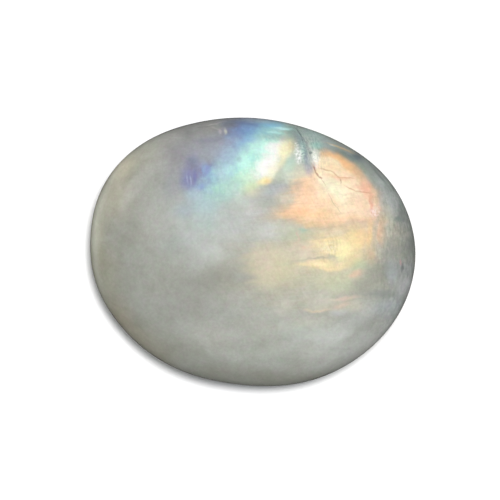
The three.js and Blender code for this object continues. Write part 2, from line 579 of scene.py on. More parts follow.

# %% [markdown]
# ## The milky body
#
# The body is grey-green milk with slow clouds. It is warm and olive towards the left and lower edge,
# where one looks through more of it, and darker and clearer at the right edge. Some strokes are painted
# light: the left rim and a crescent at its upper end are painted paler, and a faint pale band at the lower
# right paints a reflection.

# %% Body colour
clouds = paint.noise(place_mm, 0.16, detail=4.0, roughness=0.55, distortion=0.6)
body = paint.ramp(clouds, [
    (0.3, seen(152, 154, 144)), (0.5, seen(162, 165, 157)), (0.68, seen(173, 177, 171)),
])
# clouds in the body, and some painted light: a paler left rim and a faint painted reflection at the lower
# right
BODY_CLOUDS_AND_PAINTED_LIGHT = [  # colour, then right, down, half length, half width, turn, crispness and strength
    ((150, 151, 139), 138, 265, 32, 85, 0, 1.2, 0.5),
    # painted light: these three make the left rim paler than the lamp leaves it
    ((200, 195, 174), 109, 194, 18, 31, -20, 1.2, 0.75),
    ((206, 205, 182), 93, 228, 8, 30, 0, 1.2, 0.8),
    ((184, 182, 158), 93, 264, 6, 16, 0, 1.2, 0.75),
    ((158, 153, 130), 100, 272, 14, 30, 0, 1.2, 0.6),
    ((182, 182, 174), 150, 220, 14, 16, 0, 1.2, 0.4),
    ((180, 174, 160), 119, 318, 15, 9, -50, 1.2, 0.75),
    ((158, 153, 132), 131, 335, 58, 16, -48, 1.3, 0.7),
    ((146, 147, 136), 250, 379, 105, 12, 0, 1.3, 0.8),
    # painted light: these two go on with a pale crescent of light along the upper-left rim
    ((196, 196, 178), 150, 148, 30, 16, 28, 1.2, 0.75),
    ((220, 212, 186), 122, 167, 14, 8, 50, 1.2, 0.85),
    ((158, 158, 162), 190, 150, 32, 24, -5, 1.2, 0.7),
    ((192, 197, 194), 215, 222, 42, 26, -8, 1.3, 0.85),
    ((140, 142, 134), 222, 278, 30, 10, 4, 1.2, 0.95),
    ((150, 151, 144), 190, 303, 34, 18, 0, 1.2, 0.6),
    # painted reflection: these two are the faint pale band at the lower right, which the front window also
    # mirrors
    ((178, 182, 174), 310, 337, 70, 28, 6, 1.2, 0.2),
    ((196, 200, 194), 332, 345, 30, 8, 20, 1.2, 0.2),
    ((168, 168, 156), 262, 333, 20, 12, 0, 1.2, 0.5),
    ((158, 163, 151), 274, 352, 40, 10, 0, 1.2, 0.8),
    ((146, 150, 144), 406, 258, 12, 70, -4, 1.4, 0.7),
    ((206, 209, 204), 267, 233, 13, 9, 0, 1.3, 0.7),
    ((156, 164, 158), 390, 183, 46, 10, -52, 1.3, 0.8),
    ((176, 192, 185), 322, 140, 26, 8, -22, 1.2, 0.4),
    ((162, 162, 158), 208, 125, 44, 6, 10, 1.3, 0.6),
    ((150, 152, 158), 172, 182, 9, 12, 0, 1.2, 0.6),
    # painted reflection, in the same pale band at the lower right
    ((184, 184, 178), 369, 344, 20, 7, 36, 1.2, 0.7),
    ((178, 180, 178), 389, 321, 9, 9, 0, 1.2, 0.45),
    ((190, 190, 183), 213, 335, 24, 12, -4, 1.2, 0.45),
    ((182, 183, 176), 170, 138, 14, 6, 22, 1.2, 0.5),
    ((174, 176, 160), 103, 288, 8, 24, -14, 1.2, 0.5),
    ((180, 184, 182), 228, 309, 16, 10, 0, 1.2, 0.35),
    ((136, 138, 126), 139, 320, 9, 6, 0, 1.2, 0.4),
    ((154, 160, 154), 176, 244, 12, 10, 0, 1.2, 0.5),
    ((162, 165, 152), 252, 323, 14, 9, 0, 1.2, 0.45),
    ((200, 206, 200), 213, 252, 10, 7, 0, 1.2, 0.4),
    ((194, 197, 192), 352, 344, 34, 8, 24, 1.2, 0.5),
    ((196, 201, 202), 190, 237, 9, 8, 0, 1.2, 0.4),
    ((166, 188, 182), 204, 222, 15, 9, 10, 1.2, 0.45),
    ((168, 166, 150), 130, 332, 9, 6, -45, 1.2, 0.6),
    ((182, 186, 190), 243, 296, 11, 7, 0, 1.2, 0.3),
    ((148, 147, 138), 136, 187, 11, 19, -30, 1.2, 0.35),
    ((182, 184, 180), 389, 322, 7, 8, 0, 1.2, 0.55),
    ((174, 175, 167), 285, 365, 50, 5, 2, 1.2, 0.4),
    ((196, 204, 192), 300, 328, 22, 6, 0, 1.2, 0.45),
    # painted reflection, in the same pale band at the lower right
    ((197, 199, 193), 318, 354, 18, 5, 4, 1.2, 0.5),
    ((182, 185, 178), 232, 354, 20, 7, -4, 1.2, 0.4),
]
colour = over(body, loose, BODY_CLOUDS_AND_PAINTED_LIGHT)
print("clouds in the body:", len(BODY_CLOUDS_AND_PAINTED_LIGHT))

# %% [markdown]
# ## The sides and the belly
#
# Below the girdle the flashes fade, and plainer things show: milky plates that lie askew, a faint sheen,
# healed cleavage as pale seams with a dark line in them, and a few rusty specks. Feldspar cleaves along
# two sets of planes that stand nearly square to each other. So the seams are two sets of even steps, and
# noise hides most of them.

# %% Milk, sheen, seams and specks low on the stone
low_down = paint.between(height, 0.5, -2.2)  # from 0.5 mm over the girdle to 2.2 mm under it
milk = plates(CLEAVAGE_TURN, length=6.0, width=1.1, dip=38.0, detail=4.0)
BELLY_MILK_AND_LIGHT = 0.4  # how far the belly is paler than the crown
colour = weave(colour, paint.between(height, 2.4, -1.6), milk, (0.82, 0.83, 0.83), (1.16, 1.19, 1.22))
# the belly is painted paler: partly milk, and partly painted light that lifts the shade below the girdle
colour = paint.mix(paint.math("MULTIPLY", low_down, BELLY_MILK_AND_LIGHT), colour, seen(204, 207, 202))
SHEENS = [  # colour, level in mm, then the stroke in mm
    ((132, 160, 196), -2.6, (-4.5, 10.0, 5.5, 3.4, -12, 1.2, 0.75)),
    ((206, 182, 148), -3.0, (13.0, -1.5, 3.6, 4.6, 20, 1.2, 0.6)),
    ((196, 201, 196), -3.4, (-8.0, -8.0, 4.6, 3.4, 30, 1.2, 0.75)),
    ((176, 186, 190), -2.2, (6.5, -10.5, 4.4, 2.6, 8, 1.2, 0.6)),
    ((152, 170, 192), -3.8, (0.5, -10.0, 3.2, 3.0, 10, 1.2, 0.6)),
    ((164, 152, 128), -3.0, (-13.5, 2.0, 2.6, 4.0, 0, 1.2, 0.6)),
]
for shade, level, row in SHEENS:
    sheen = paint.math("MULTIPLY", stroke(loose, row, level), low_down)
    colour = paint.mix(sheen, colour, seen(*shade))
CLEAVAGES = [  # azimuth and elevation that its planes face, spacing in mm, waves per mm that hide it
    (100, 52, 3.1, 0.12), (33, 25, 4.2, 0.15),
]
SEAM_COATS = [  # colour, reach to each side in mm, and strength
    ((214, 219, 216), 0.5, 0.4), ((112, 110, 100), 0.06, 0.5),
]
for azimuth, elevation, spacing, waves in CLEAVAGES:
    steps = paint.math("DIVIDE", paint.dot(tight, facing(azimuth, elevation)), spacing)
    steps = paint.math("ADD", steps, paint.noise(place_mm, waves, detail=1.0))
    gap = paint.math("PINGPONG", steps, 0.5)
    shown = paint.math("MULTIPLY", low_down, paint.between(paint.noise(place_mm, waves), 0.48, 0.58))
    for shade, reach_of_seam, strength in SEAM_COATS:
        edge = reach_of_seam / spacing
        seam = paint.math("MULTIPLY", shown, paint.between(gap, edge, 0.0, high_end=strength))
        colour = paint.mix(seam, colour, seen(*shade))
SPECK_STRENGTH = 0.7
specks = paint.between(paint.noise(place_mm, 1.3, detail=2.0), 0.7, 0.76, high_end=SPECK_STRENGTH)
colour = paint.mix(paint.math("MULTIPLY", specks, low_down), colour, seen(118, 98, 72))
print("sheens, and sets of cleavage planes, low on the stone:", len(SHEENS), len(CLEAVAGES))

# %% [markdown]
# ## The blue flash
#
# The layers near the back edge are thinnest at their left end and thicken to the right, so the flash runs
# through the rainbow's colours in that order: violet, blue, cyan, mint, white, yellow. One ramp along
# that direction gives the hue, and strokes say where the flash is bright.

# %% Blue flash
HUE_WAY = Vector((0.888, -0.458, 0))  # the way in which the layers thicken
HUE_START, HUE_LENGTH = -10.5, 9.5  # mm along it where the ramp begins, and how long the ramp is
hue = paint.math("DIVIDE", paint.math("SUBTRACT", paint.dot(loose, HUE_WAY), HUE_START), HUE_LENGTH)
lamellae = plates(turn=97.0, length=1.6, width=0.35)
patches = paint.noise(place_mm, 0.8, roughness=0.6)
HUE_SHIFTS = [(lamellae, 0.22), (patches, 0.45)]  # a pattern, and how far it moves the hue along the ramp
for pattern, amount in HUE_SHIFTS:
    hue = paint.math("ADD", hue, paint.math("MULTIPLY", paint.math("SUBTRACT", pattern, 0.5), amount))
blue_colour = paint.ramp(hue, [
    (0.0, seen(148, 146, 156)),
    (0.15, seen(126, 126, 176)),
    (0.25, seen(118, 150, 205)),
    (0.38, seen(150, 205, 228)),
    (0.53, seen(172, 240, 222)),
    (0.65, seen(212, 252, 234)),
    (0.75, seen(252, 255, 246)),
    (0.85, seen(250, 250, 196)),
    (0.95, seen(236, 226, 190)),
])
BLUE_STROKES = [  # the same numbers without a colour, which the ramp gives
    (272, 148, 14, 8, 0, 1.6, 0.9),
    (266, 164, 17, 11, 52, 1.6, 1.0),
    (250, 160, 14, 20, 10, 1.4, 0.9),
    (240, 174, 10, 13, 10, 1.3, 0.65),
    (262, 130, 30, 9, 0, 1.4, 0.75),
    (238, 133, 18, 10, 20, 1.3, 0.7),
    (232, 157, 16, 16, 20, 1.2, 0.6),
    (190, 174, 8, 13, 0, 1.4, 0.8),
    (206, 172, 10, 9, 0, 1.4, 0.65),
    (218, 188, 20, 10, 12, 1.1, 0.55),
    (202, 206, 14, 9, 0, 1.1, 0.15),
    (196, 148, 30, 16, 0, 1, 0.15),
]
on_crown = paint.between(height, -2.0, 1.0)
blue_strength = paint.math("MULTIPLY", together(loose, BLUE_STROKES), on_crown)
colour = paint.mix(blue_strength, colour, blue_colour)
print("strokes in the blue:", len(BLUE_STROKES))

# %% Lamellae and single lights in the blue flash
cool_zone = stroke(loose, (-2.0, 8.0, 7.0, 4.6, 10, 2, 1.0))  # a zone is one stroke, with its row in mm
colour = weave(colour, cool_zone, lamellae, (0.9, 0.92, 0.95), (1.05, 1.04, 1.03))
splinters = plates(CLEAVAGE_TURN, length=1.2, width=0.2)
colour = weave(colour, cool_zone, splinters, (0.95, 0.94, 0.93), (1.03, 1.03, 1.05))
BLUE_MARKS = [
    ((104, 124, 166), 252, 122.5, 24, 4.5, 0, 1.4, 0.85),
    ((122, 142, 186), 238, 132, 10, 5, 30, 1.2, 0.7),
    ((144, 204, 232), 271, 125, 12, 3.6, -6, 1.4, 0.85),
    ((118, 124, 134), 229, 124.5, 7, 3, 6, 1.3, 0.7),
    ((172, 194, 210), 226, 156, 11, 7, 20, 1.2, 0.5),
    ((116, 154, 206), 250, 131, 11, 5, 4, 1.3, 0.75),
    ((140, 186, 226), 247, 140, 8, 4, 10, 1.3, 0.75),
    ((140, 170, 214), 240, 147, 7, 6, 20, 1.2, 0.6),
    ((160, 178, 200), 230, 158, 9, 8, 0, 1.2, 0.6),
    ((190, 232, 238), 225, 172, 9, 7, 10, 1.2, 0.6),
    ((156, 212, 224), 267, 133, 11, 4.5, 0, 1.2, 0.6),
    ((206, 252, 242), 256, 148, 9, 7, 10, 1.3, 0.8),
    ((166, 206, 214), 243, 150, 5, 4, 10, 1.3, 0.6),
    ((206, 250, 238), 243, 160, 8, 9, 0, 1.2, 0.7),
    ((206, 234, 206), 247, 179, 10, 8, 10, 1.2, 0.8),
    ((190, 216, 204), 232, 188, 10, 7, 10, 1.2, 0.5),
    ((166, 190, 178), 277, 137, 15, 2.6, -4, 1.4, 0.35),
    ((136, 170, 160), 291, 131, 7, 6, -20, 1.3, 0.85),
    ((205, 252, 250), 283, 128.3, 8, 1.1, -6, 1.4, 0.85),
    ((194, 246, 242), 274, 132.3, 8, 1.1, -8, 1.4, 0.75),
    ((255, 254, 250), 275, 148, 9, 5, -10, 1.5, 1.0),
    ((255, 254, 250), 267, 165, 12, 8, 62, 1.5, 1.0),
    ((254, 250, 222), 272, 171, 8, 4.6, 60, 1.4, 0.8),
    ((253, 246, 200), 285, 150, 9, 7, 74, 1.5, 0.95),
    ((176, 188, 168), 291, 141, 4, 3.4, 0, 1.3, 0.6),
    ((246, 228, 176), 289, 147, 6, 1.6, 86, 1.4, 0.7),
    ((198, 182, 150), 292.3, 149, 4, 1.1, 88, 1.5, 0.6),
    ((255, 240, 184), 263.5, 181, 7, 3.4, 20, 1.5, 0.95),
    ((252, 222, 158), 267, 181.5, 3.5, 2, 0, 1.4, 0.7),
    ((212, 228, 180), 250, 187, 8, 5, 14, 1.3, 0.75),
    ((226, 216, 190), 253, 193, 10, 4, 10, 1.2, 0.5),
    ((194, 230, 214), 289, 167, 12, 5.4, 76, 1.3, 0.75),
    ((214, 222, 206), 291, 177, 7, 5, 0, 1.3, 0.7),
    ((184, 190, 194), 272, 190, 12, 6, 20, 1.3, 0.65),
    ((222, 214, 190), 284, 198, 9, 6, 0, 1.2, 0.6),
    ((164, 198, 196), 208, 200, 18, 9, 10, 1.2, 0.45),
    ((132, 136, 166), 190, 170, 8, 13, 0, 1.4, 0.6),
    ((118, 122, 172), 194.5, 177, 1.6, 7, 0, 1.4, 0.7),
    ((132, 126, 150), 191.5, 166, 1.6, 4, 0, 1.4, 0.5),
    ((186, 190, 216), 187, 179, 0.7, 4, 6, 1.5, 0.75),
    ((190, 196, 224), 190.3, 180.5, 0.7, 4, 4, 1.5, 0.75),
    ((138, 146, 196), 207, 170, 3.5, 4, 0, 1.4, 0.65),
    ((132, 160, 206), 201, 186, 5, 3.5, 20, 1.3, 0.6),
    ((150, 196, 214), 213, 178, 4, 6, 0, 1.3, 0.3),
    ((146, 142, 148), 177, 156, 9, 9, 0, 1.2, 0.5),
    ((164, 168, 178), 212, 148, 13, 9, 30, 1.2, 0.7),
    ((140, 140, 156), 210, 140, 14, 2.4, 4, 1.3, 0.6),
    ((140, 160, 170), 238.5, 159, 2.6, 2.4, 0, 1.4, 0.5),
    ((222, 226, 206), 225, 131.5, 1.3, 2.6, 0, 1.5, 0.8),
    ((192, 190, 194), 219.5, 131.5, 1.3, 2, 0, 1.5, 0.6),
    ((186, 186, 180), 211, 124.5, 9, 0.7, 14, 1.3, 0.6),
    ((182, 182, 176), 214, 128, 8, 0.7, -24, 1.3, 0.5),
    ((130, 130, 128), 205, 126.5, 9, 0.8, 8, 1.3, 0.5),
    ((206, 222, 212), 241, 201, 9, 6, 0, 1.2, 0.5),
    ((166, 184, 188), 203, 207, 10, 7, 0, 1.2, 0.45),
    ((214, 206, 170), 291, 146, 3.5, 5, 0, 1.3, 0.5),
    ((156, 182, 196), 232, 156, 5, 5, 0, 1.2, 0.45),
    ((120, 126, 146), 229, 131, 4, 4, 0, 1.3, 0.5),
    ((206, 218, 196), 277, 177, 5, 4, 60, 1.3, 0.5),
    ((190, 206, 216), 261, 120, 17, 2.6, -3, 1.3, 0.55),
    ((180, 206, 220), 191, 194, 6, 5, 0, 1.2, 0.5),
    ((120, 128, 150), 193, 161, 5, 5, 0, 1.2, 0.5),
    ((172, 208, 196), 235, 185, 9, 6, 0, 1.2, 0.45),
    ((156, 170, 180), 183, 211, 8, 6, 0, 1.2, 0.5),
    ((128, 138, 178), 186, 182, 6, 7, 0, 1.3, 0.5),
    ((253, 250, 206), 282, 161, 6, 3, 70, 1.3, 0.5),
    ((222, 240, 220), 284, 170, 6, 4, 60, 1.3, 0.45),
    ((128, 130, 128), 188, 133, 8, 5, 0, 1.2, 0.45),
]
colour = over(colour, tight, BLUE_MARKS)
print("single lights in the blue:", len(BLUE_MARKS))

# %% [markdown]
# ## The fire flash and the gold
#
# To the right of the crack the layers are thicker, and the flash is peach to cream, with a frayed edge.
# Its colour goes with its strength: orange where it starts and cream in the middle. Streaks along the
# cleavage break it up.

# %% Glow round the fire and the gold
GLOW_STROKES = [
    ((206, 200, 174), 306, 266, 64, 36, 5, 1.3, 0.65),
    ((232, 208, 172), 354, 228, 30, 16, -8, 1.3, 0.7),
    ((234, 214, 174), 336, 250, 32, 20, 0, 1.3, 0.55),
    ((206, 208, 184), 298, 172, 10, 10, 0, 1.2, 0.5),
    ((230, 206, 176), 299, 196, 12, 18, 0, 1.2, 0.45),
    ((224, 198, 166), 284, 213, 18, 9, 6, 1.2, 0.55),
    ((228, 208, 168), 312, 244, 20, 14, 0, 1.2, 0.55),
    ((206, 206, 200), 257, 208, 12, 8, 0, 1.2, 0.6),
]
colour = over(colour, loose, GLOW_STROKES)
print("strokes of glow:", len(GLOW_STROKES))


# %% Fire flash
FRAY, FULL_FLASH = 0.9, 0.8  # how far the comb frays a flash, and the strength at which it covers


def warm_flash(colour, rows, stops):
    """Strokes on the crown, frayed by the comb, in the colours that the stops give from weak to strong."""
    whole = paint.math("MULTIPLY", together(combed, rows), on_crown)
    frayed = paint.math("MULTIPLY", paint.math("MULTIPLY", comb, FRAY), whole)
    strength = paint.math("ADD", whole, frayed)
    return paint.mix(paint.between(strength, 0.0, FULL_FLASH), colour, paint.ramp(strength, stops))


FIRE_STROKES = [
    (331, 166, 17, 11, -25, 1.5, 0.85),
    (346, 177, 18, 9, -38, 1.6, 0.75),
    (335, 191, 34, 20, -14, 1.7, 0.9),
    (309, 198, 14, 22, 0, 1.3, 0.7),
    (304, 211, 20, 8, 3, 1.1, 0.5),
    (326, 213, 40, 8, 0, 1.5, 0.75),
    (361, 203, 15, 17, 0, 1.6, 0.8),
]
colour = warm_flash(colour, FIRE_STROKES, [
    (0.1, seen(232, 198, 160)), (0.4, seen(248, 206, 164)),
    (0.65, seen(251, 218, 182)), (0.95, seen(253, 234, 202)),
])
print("strokes in the fire:", len(FIRE_STROKES))

# %% Lights and shades in the fire
FIRE_MARKS = [
    ((252, 200, 140), 336, 158, 15, 4, -18, 1.3, 0.8),
    ((250, 198, 138), 347, 166, 10, 4.5, -52, 1.3, 0.8),
    ((224, 184, 144), 358, 176.5, 10, 4.4, -56, 1.3, 0.85),
    ((255, 238, 200), 325, 162, 9, 4.6, -10, 1.4, 0.8),
    ((253, 214, 170), 336, 169, 12, 3, -24, 1.3, 0.55),
    ((254, 248, 214), 324, 182, 9, 4.5, -56, 1.3, 0.8),
    ((255, 250, 216), 335.5, 193, 13, 7, -58, 1.3, 0.9),
    ((254, 240, 204), 350, 184, 10, 3.2, -22, 1.4, 0.7),
    ((255, 246, 208), 333, 173.5, 6, 2, -30, 1.4, 0.7),
    ((250, 200, 162), 305, 190, 8, 15, 0, 1.2, 0.7),
    ((202, 184, 166), 296.5, 186, 4, 6, 0, 1.2, 0.65),
    ((228, 196, 166), 307.5, 188, 3, 2.6, 0, 1.3, 0.5),
    ((246, 198, 154), 293, 212, 11, 4, 8, 1.2, 0.5),
    ((250, 204, 156), 313, 213, 20, 5, 0, 1.3, 0.75),
    ((212, 189, 150), 312, 222.6, 15, 4.4, 0, 1.3, 0.85),
    ((250, 204, 160), 318, 203, 18, 7, 0, 1.2, 0.4),
    ((246, 188, 158), 366, 188, 5, 10, 15, 1.3, 0.75),
    ((246, 190, 164), 360, 187.5, 9, 2.4, -14, 1.3, 0.6),
    ((250, 206, 172), 357, 205, 11, 8, 0, 1.2, 0.45),
    ((248, 196, 160), 340, 178, 12, 2.4, -14, 1.3, 0.6),
    ((253, 226, 190), 334, 206, 12, 6, -50, 1.3, 0.5),
    ((250, 212, 172), 334, 219, 24, 3.4, 3, 1.3, 0.7),
    ((214, 186, 162), 357, 223, 14, 3, 3, 1.3, 0.55),
    ((226, 200, 162), 326, 224, 16, 2.4, 0, 1.3, 0.5),
    ((240, 204, 186), 371, 211, 6, 6.5, 0, 1.3, 0.7),
    ((226, 150, 128), 371.5, 203, 1.5, 9, 0, 1.3, 0.55),
    ((250, 212, 156), 368.5, 233, 2.6, 13, -3, 1.5, 0.8),
    ((238, 190, 154), 380.5, 231, 2.8, 9, 4, 1.4, 0.75),
    ((196, 190, 166), 374.5, 234, 2.2, 10, 0, 1.4, 0.35),
    ((186, 192, 178), 388, 226, 4, 12, 4, 1.3, 0.5),
    ((216, 180, 138), 371, 255, 5, 7, 0, 1.2, 0.55),
    ((226, 200, 168), 382.5, 221, 3, 6, 0, 1.3, 0.5),
    ((246, 194, 148), 299, 208, 7, 4, 0, 1.3, 0.6),
    ((240, 226, 190), 334, 232, 11, 5, 0, 1.2, 0.5),
]
colour = over(colour, loose, FIRE_MARKS)
print("single lights in the fire:", len(FIRE_MARKS))

# %% Gold
GOLD_STROKES = [
    (333, 246, 16, 10, 0, 1.3, 0.75),
    (352, 240, 15, 12, 30, 1.3, 0.7),
    (323, 264.5, 24, 4.5, 2, 1.3, 0.8),
    (318, 247, 9, 7, 0, 1.2, 0.35),
]
colour = warm_flash(colour, GOLD_STROKES, [
    (0.1, seen(222, 204, 166)), (0.5, seen(238, 217, 168)), (0.9, seen(248, 230, 178)),
])
print("strokes in the gold:", len(GOLD_STROKES))

# %% [markdown]
# ## Splinters and veils
#
# Seen close, a flash is not one patch of colour. The cleavage has cut its layers into hundreds of
# splinters, which lie in two sets, and thin veils of milk float over them. Splinters could be drawn one
# by one, but stretched noise gives them all at once, and a single stroke keeps it to the flash. The veils
# have their own colours and places, so they are strokes. A few faint ones are painted light and shade: a
# paler top edge, and a darker lower right.

# %% Streaks that tint the flashes
warm_zone = stroke(loose, (7.0, 1.5, 9.0, 8.0, 12, 2, 1.0))
colour = weave(colour, warm_zone, streaks, (0.9, 0.93, 0.95), (1.02, 0.98, 0.93))
for turn in (CLEAVAGE_TURN, CROSS_TURN):
    splinters = plates(turn, length=1.3, width=0.2)
    colour = weave(colour, warm_zone, splinters, (0.94, 0.93, 0.92), (1.03, 1.03, 1.05))
needles = plates(turn=106.0, length=0.9, width=0.16)
fan_zone = stroke(tight, (8.0, 0.9, 1.5, 1.3, 10, 1.6, 1.0))
colour = weave(colour, fan_zone, needles, (0.72, 0.74, 0.76), (1.08, 1.08, 1.1))
print("nodes so far:", len(feldspar.node_tree.nodes))

# %% Veils, with painted light and shade
VEILS_AND_PAINTED_LIGHT = [
    # painted light: lifts the top edge, which the lamp leaves a little dim
    ((228, 230, 228), 262, 132, 50, 12, -8, 1.0, 0.04),
    ((225, 232, 226), 309, 143, 14, 17, -25, 1.0, 0.12),
    ((186, 196, 198), 230, 141, 9, 7, 30, 1.0, 0.25),
    ((172, 196, 214), 209, 148, 12, 12, 30, 1.0, 0.12),
    ((228, 230, 222), 143, 192, 9, 10, 60, 1.0, 0.09),
    # painted shade: these two darken the lower right, which the lamp lights a little more
    ((120, 118, 110), 292, 345, 18, 8, 8, 1.0, 0.13),
    ((110, 112, 106), 357, 319, 10, 9, -20, 1.0, 0.12),
    ((90, 96, 92), 390, 272, 7, 12, 90, 1.0, 0.1),
    ((225, 225, 218), 385, 202, 8, 8, 0, 1.0, 0.13),
    ((156, 176, 182), 355, 158, 13, 5, -28, 1.0, 0.35),
    ((112, 112, 98), 110, 245, 80, 22, 92, 1.0, 0.09),
    ((120, 118, 90), 170, 329, 30, 12, -20, 1.0, 0.12),
    ((250, 222, 200), 366, 226, 18, 7, -5, 1.0, 0.2),
    ((180, 206, 200), 364, 176, 7, 5, -40, 1.0, 0.25),
    ((236, 250, 215), 298, 174, 7, 5, 30, 1.0, 0.3),
    ((175, 182, 200), 404, 268, 5, 10, 85, 1.0, 0.2),
    ((220, 235, 225), 309, 155, 6, 5, -30, 1.0, 0.2),
    ((206, 196, 168), 268, 265, 22, 20, 4, 2.4, 0.75),
    ((214, 198, 182), 266, 263, 7, 10, 20, 1.2, 0.5),
    ((212, 206, 170), 284, 268, 16, 14, 4, 1.4, 0.5),
    ((217, 207, 190), 303, 250, 16, 9, 8, 1.4, 0.5),
    ((202, 204, 204), 268, 231, 10, 6, 0, 1.3, 0.45),
    ((212, 214, 200), 286, 226, 10, 5, 0, 1.2, 0.5),
    ((198, 205, 182), 294, 234, 16, 7, 0, 1.3, 0.6),
    ((162, 198, 176), 300, 229, 3.4, 2.4, 0, 1.3, 0.7),
    ((224, 188, 176), 296, 236, 1.2, 6, 0, 1.3, 0.6),
    ((232, 194, 172), 303, 248, 4, 2, 0, 1.3, 0.5),
    ((210, 212, 178), 334, 277, 24, 8, 4, 1.3, 0.6),
    ((188, 210, 166), 360, 264, 10, 4.6, 0, 1.2, 0.65),
    ((240, 218, 168), 354, 257, 9, 6, 0, 1.2, 0.6),
    ((198, 208, 176), 342, 287, 18, 4, 0, 1.2, 0.5),
    ((232, 196, 168), 355, 273, 7, 3, 6, 1.4, 0.75),
    ((182, 174, 150), 312, 258.5, 15, 0.9, 9, 1.5, 0.8),
    ((244, 222, 176), 330, 266, 12, 2.4, 2, 1.3, 0.5),
    ((150, 160, 152), 331, 255.5, 5.5, 2.2, -6, 1.5, 0.85),
    ((192, 190, 170), 300, 261, 18, 1.4, 10, 1.3, 0.4),
    ((226, 198, 178), 340, 296.5, 17, 1.6, 2, 1.4, 0.65),
    ((226, 190, 172), 341, 303, 6, 2.4, 20, 1.3, 0.6),
    ((228, 204, 170), 318, 308, 11, 1.6, 6, 1.4, 0.6),
    ((196, 203, 202), 338, 310, 8, 4, 0, 1.3, 0.5),
    ((252, 244, 186), 341, 250, 8, 7, 30, 1.3, 0.75),
    ((246, 212, 160), 359, 238, 11, 9, 20, 1.3, 0.6),
    ((250, 234, 184), 318, 262.5, 9, 2, 2, 1.4, 0.7),
    ((206, 196, 176), 330, 302, 16, 6, 6, 1.2, 0.5),
    ((208, 210, 196), 318, 297, 12, 8, 0, 1.2, 0.45),
    ((152, 157, 150), 354, 323, 12, 7, 0, 1.2, 0.7),
    ((188, 186, 160), 307, 235, 11, 5, 4, 1.2, 0.5),
    ((212, 192, 168), 310, 262, 8, 3, 8, 1.2, 0.4),
    ((184, 188, 180), 257, 233, 7, 6, 0, 1.2, 0.45),
    ((208, 204, 190), 283, 307, 10, 7, 0, 1.2, 0.5),
    ((164, 170, 160), 267, 204, 8, 5, 0, 1.2, 0.45),
    ((200, 199, 186), 311, 320, 18, 5, 0, 1.2, 0.5),
    ((158, 161, 157), 240, 275, 10, 8, 0, 1.2, 0.5),
    ((206, 200, 178), 353, 305, 9, 5, 0, 1.2, 0.5),
]
colour = over(colour, combed, VEILS_AND_PAINTED_LIGHT)
print("veils:", len(VEILS_AND_PAINTED_LIGHT))

# %% [markdown]
# ## The bruised edge, and the band beside the crack
#
# At the right edge the stone is clearer and darker, and tumbling has bruised it: fine veins and pits
# stand across it. Light cannot cross the open cleavage plane of the crack either, so a slate-coloured
# band lies beside it, and chips of the layers next to it shine white. The chips are strokes that show
# only where a fine noise is high, which breaks them up as no smooth edge could.

# %% Bruised right edge
veins = plates(turn=98.0, length=0.9, width=0.3, detail=5.0)
edge_zone = stroke(loose, (14.2, 3.4, 2.9, 9.5, 4, 2.0, 1.0))
colour = weave(colour, edge_zone, veins, (0.76, 0.8, 0.8), (1.18, 1.17, 1.17))
pits = paint.noise(place_mm, 2.4, detail=4.0, roughness=0.7)
colour = weave(colour, edge_zone, pits, (0.86, 0.88, 0.88), (1.13, 1.13, 1.12))
BRUISES = [
    ((148, 150, 138), 377, 270, 12, 9, 10, 1.3, 0.7),
    ((154, 154, 142), 362, 286, 13, 8, 10, 1.2, 0.75),
    ((142, 150, 144), 381, 293, 15, 4, 3, 1.3, 0.7),
    ((190, 192, 193), 403, 285, 8, 9, 0, 1.2, 0.8),
    ((148, 150, 140), 390, 249, 9, 13, 0, 1.2, 0.6),
    ((134, 139, 132), 389, 272, 5, 6, 0, 1.2, 0.75),
    ((206, 200, 180), 386, 210, 4, 5, 0, 1.2, 0.5),
    ((200, 180, 152), 382, 229, 3, 8, 0, 1.3, 0.5),
    ((190, 200, 194), 381, 180, 8, 4, -50, 1.3, 0.5),
    ((146, 152, 146), 389, 268, 6, 7, 0, 1.2, 0.6),
    ((182, 188, 190), 391, 274, 5, 10, -6, 1.2, 0.6),
    ((176, 184, 190), 386, 307, 15, 8, 6, 1.2, 0.5),
    ((112, 136, 126), 397, 216, 4, 2, 0, 1.3, 0.7),
    ((120, 138, 130), 400, 207, 1.5, 5, 0, 1.3, 0.6),
    ((104, 110, 108), 402, 267, 1.4, 4, 0, 1.4, 0.7),
    ((196, 158, 158), 400, 262, 1, 3, 0, 1.4, 0.6),
    ((186, 192, 194), 392, 203, 7, 10, 0, 1.2, 0.4),
    ((126, 132, 126), 408, 245, 5, 9, 0, 1.3, 0.6),
    ((128, 132, 128), 401, 213, 5, 8, 0, 1.3, 0.5),
]
colour = over(colour, loose, BRUISES)
print("bruises:", len(BRUISES))

